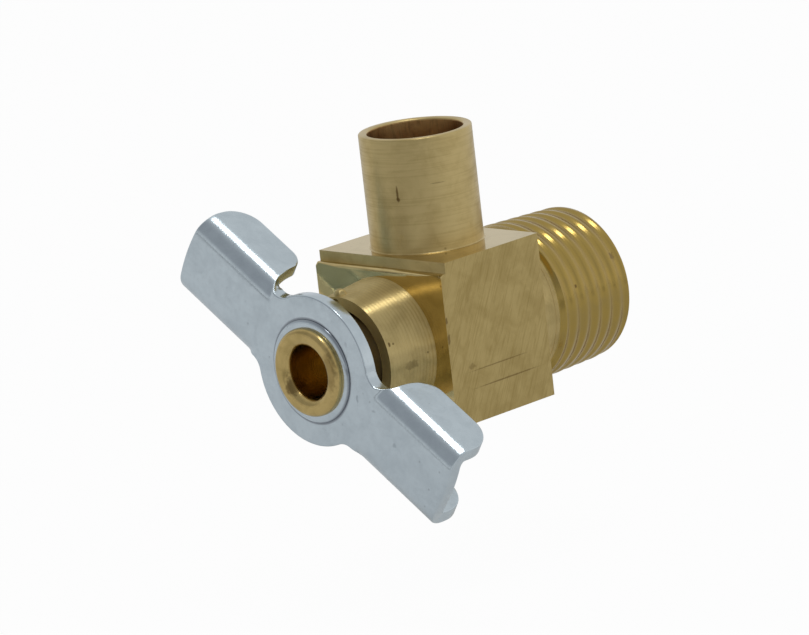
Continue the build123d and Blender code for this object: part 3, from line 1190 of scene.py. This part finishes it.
class VALVE_OT_handle(bpy.types.Operator):
    """Makes the plated wing handle and the ring under the rolled stem"""

    bl_idname = "valve.make_handle"
    bl_label = "Wing handle and ring"

    def execute(self, context):
        scene = context.scene
        handle, finish = scene.valve_handle, scene.valve_finish
        mesh = mesh_from(make_handle_form(handle), "folded_handle", math.radians(60))
        mesh.materials.append(make_zinc_plate(finish, "zinc_plate", handle.head_scale))
        new_piece("folded_handle", mesh, "handle", "wing_handle")
        inner, outer = handle.hole_radius, washer_high.x * handle.head_scale
        front, back = washer_low.y - handle.forward, washer_high.y - handle.forward
        points = [(inner, back), (outer, back)]
        for i in range(1, RING_CROWN_STEPS + 1):
            t = math.pi / 2 * i / RING_CROWN_STEPS
            points.append((outer - RING_CROWN * (1 - math.cos(t)), back + (front - back) * math.sin(t)))
        points.append((inner, front))
        ring = mesh_from(lathe(points, Vector((0, 0, 0)), "Y", 140), "rivet_ring", math.radians(50))
        ring.materials.append(make_zinc_plate(finish, "washer_plate", handle.head_scale))
        new_piece("rivet_ring", ring, "handle", "rivet_washer")
        return {"FINISHED"}


class VALVE_OT_o_ring(bpy.types.Operator):
    """Finishes the rubber ring inside the body"""

    bl_idname = "valve.make_o_ring"
    bl_label = "Rubber ring"

    def execute(self, context):
        mesh = mesh_from(solid_copy("stem_o_ring"), "o_ring_skin", math.radians(60))
        mesh.materials.append(make_ring_rubber(context.scene.valve_finish))
        new_piece("o_ring_skin", mesh, "ring_carrier", "stem_o_ring")
        return {"FINISHED"}


class VALVE_OT_stage(bpy.types.Operator):
    """Sets out the floor, the room light, the strip light and the camera"""

    bl_idname = "valve.make_stage"
    bl_label = "Stage"

    def execute(self, context):
        scene = context.scene
        settings = scene.valve_stage
        scene.view_settings.view_transform = "Standard"
        make_floor(settings)
        make_room(scene, settings)
        make_strip_light(settings)
        make_camera(scene)
        return {"FINISHED"}


# Stage


def ray_mask(tree):
    """Masks for rays that see the background straight or through glass, and for mirrored ones."""
    path = add(tree, "ShaderNodeLightPath").outputs
    straight = math_node(tree, "MAXIMUM", path["Is Camera Ray"], path["Is Transmission Ray"])
    return straight, path["Is Glossy Ray"]


def make_floor(settings):
    """White paper floor with painted shade: its front is greyer, and mirrored rays see it darker near the
    valve; this shows in mirrored light and hardly to the camera.
    """
    level = handle_low.z - settings.floor_gap
    mesh = bpy.data.meshes.new("floor")
    signs = ((-1, -1), (1, -1), (1, 1), (-1, 1))
    corners = [(x * FLOOR_HALF, y * FLOOR_HALF, level) for x, y in signs]
    mesh.from_pydata(corners, [], [(0, 1, 2, 3)])
    floor = bpy.data.objects.new("floor", mesh)
    bpy.context.scene.collection.objects.link(floor)
    material = bpy.data.materials.new("floor_paper")
    material.use_nodes = True
    tree = material.node_tree
    shader = tree.nodes["Principled BSDF"]
    shader.inputs["Roughness"].default_value = 0.9
    place = add(tree, "ShaderNodeTexCoord").outputs["Object"]
    near = vector_node(tree, "DOT_PRODUCT", {0: place, 1: FLOOR_FRONT}, "Value")
    # Painted shade: the floor's front is greyer
    grey = tuple(c * FLOOR_FRONT_SHARE for c in settings.floor_colour)
    shade = span(tree, near, 0.08, 0.14)
    colour = blend_colour(tree, shade, tuple(settings.floor_colour), grey)
    tree.links.new(colour, shader.inputs["Base Color"])
    straight, glossy = ray_mask(tree)
    glow = add(tree, "ShaderNodeEmission", {"Color": (1, 1, 1, 1), "Strength": 1.0}).outputs[0]
    away = vector_node(tree, "LENGTH", {0: place}, "Value")
    # Painted shadow: mirrored rays see less white near the valve
    spread = span(tree, away, 0.04, 0.15, 0.25, 0.34)
    lit = math_node(tree, "MULTIPLY", spread, span(tree, shade, 0.0, 1.0, 1.0, 0.35))
    mirrored = math_node(tree, "MULTIPLY", glossy, lit)
    share = math_node(tree, "ADD", math_node(tree, "MULTIPLY", straight, FLOOR_WHITE_SHARE), mirrored)
    mixed = add(tree, "ShaderNodeMixShader", {0: share, 1: shader.outputs[0], 2: glow}).outputs[0]
    tree.links.new(mixed, tree.nodes["Material Output"].inputs["Surface"])
    mesh.materials.append(material)


def make_room(scene, settings):
    """Soft grey room, darker in front and lighter low at the back, white where it is looked at."""
    world = bpy.data.worlds.new("studio")
    scene.world = world
    world.use_nodes = True
    tree = world.node_tree
    tree.nodes.clear()
    way = add(tree, "ShaderNodeTexCoord").outputs["Generated"]
    split = add(tree, "ShaderNodeSeparateXYZ", {0: way}).outputs
    front = span(tree, split[1], 0.1, -0.65)
    above = span(tree, split[2], -0.02, 0.25)
    shade = math_node(tree, "MULTIPLY", front, above)
    low = span(tree, split[2], 0.25, 0.5, 1.0, 0.0)
    back = math_node(tree, "MULTIPLY", span(tree, split[1], 0.0, 0.7), low)
    side = span(tree, split[0], -0.6, 0.5)
    far = blend_colour(tree, side, settings.far_left, settings.far_right)
    room = blend_colour(tree, back, tuple(settings.surround), far)
    room = blend_colour(tree, shade, room, tuple(settings.front_shade))
    straight, glossy = ray_mask(tree)
    mirrored = math_node(tree, "MULTIPLY", glossy, ROOM_MIRRORED_SHARE)
    seen = math_node(tree, "MAXIMUM", straight, mirrored)
    colour = blend_colour(tree, seen, room, (1.0, 1.0, 1.0))
    sky = add(tree, "ShaderNodeBackground", {"Color": colour, "Strength": 1.0}).outputs[0]
    out = add(tree, "ShaderNodeOutputWorld")
    tree.links.new(sky, out.inputs["Surface"])


def make_strip_light(settings):
    """Softbox overhead, a little to the right."""
    lamp = bpy.data.lights.new("strip", "AREA")
    lamp.shape = "RECTANGLE"
    lamp.size, lamp.size_y = STRIP_WIDTH, STRIP_LENGTH
    lamp.energy = settings.strip_light * math.pi * STRIP_WIDTH * STRIP_LENGTH
    holder = bpy.data.objects.new("strip", lamp)
    holder.location = STRIP_PLACE
    holder.visible_camera = False
    bpy.context.scene.collection.objects.link(holder)


def make_camera(scene):
    """Long lens above the front right of the valve."""
    lens = bpy.data.cameras.new("camera")
    lens.lens = CAMERA_LENS
    lens.sensor_width = CAMERA_SENSOR
    lens.sensor_fit = "HORIZONTAL"
    lens.clip_start = 0.01
    lens.clip_end = 10.0
    camera = bpy.data.objects.new("camera", lens)
    turn = Matrix((CAMERA_RIGHT, CAMERA_UP, CAMERA_BACK)).transposed().to_4x4()
    camera.matrix_world = Matrix.Translation(CAMERA_PLACE) @ turn
    scene.collection.objects.link(camera)
    scene.camera = camera


# Panel and registration


class VALVE_PT_pieces(bpy.types.Panel):
    """Lists the valve's pieces and their settings"""

    bl_label = "Air relief valve"
    bl_idname = "VALVE_PT_pieces"
    bl_space_type = "VIEW_3D"
    bl_region_type = "UI"
    bl_category = "Valve"

    def draw(self, context):
        scene = context.scene
        for settings in (scene.valve_thread, scene.valve_handle, scene.valve_finish, scene.valve_stage):
            box = self.layout.box()
            for name in settings.__annotations__:
                box.prop(settings, name)
        for operator in OPERATORS:
            self.layout.operator(operator.bl_idname)


SETTINGS = {
    "valve_thread": ValveThreadSettings,
    "valve_handle": ValveHandleSettings,
    "valve_finish": ValveFinishSettings,
    "valve_stage": ValveStageSettings,
}
OPERATORS = (VALVE_OT_stage, VALVE_OT_body, VALVE_OT_tube, VALVE_OT_stem, VALVE_OT_handle, VALVE_OT_o_ring)


def register():
    """Adds the settings, operators and panel."""
    for cls in (*SETTINGS.values(), *OPERATORS, VALVE_PT_pieces):
        bpy.utils.register_class(cls)
    for name, cls in SETTINGS.items():
        setattr(bpy.types.Scene, name, PointerProperty(type=cls))


def unregister():
    """Takes them away again."""
    for name in SETTINGS:
        delattr(bpy.types.Scene, name)
    for cls in (VALVE_PT_pieces, *reversed(OPERATORS), *reversed(SETTINGS.values())):
        bpy.utils.unregister_class(cls)


def main():
    """Makes the stage and every piece."""
    register()
    bpy.ops.valve.make_stage()
    bpy.ops.valve.make_body()
    bpy.ops.valve.make_tube()
    bpy.ops.valve.make_stem()
    bpy.ops.valve.make_handle()
    bpy.ops.valve.make_o_ring()


if __name__ == "__main__":
    main()
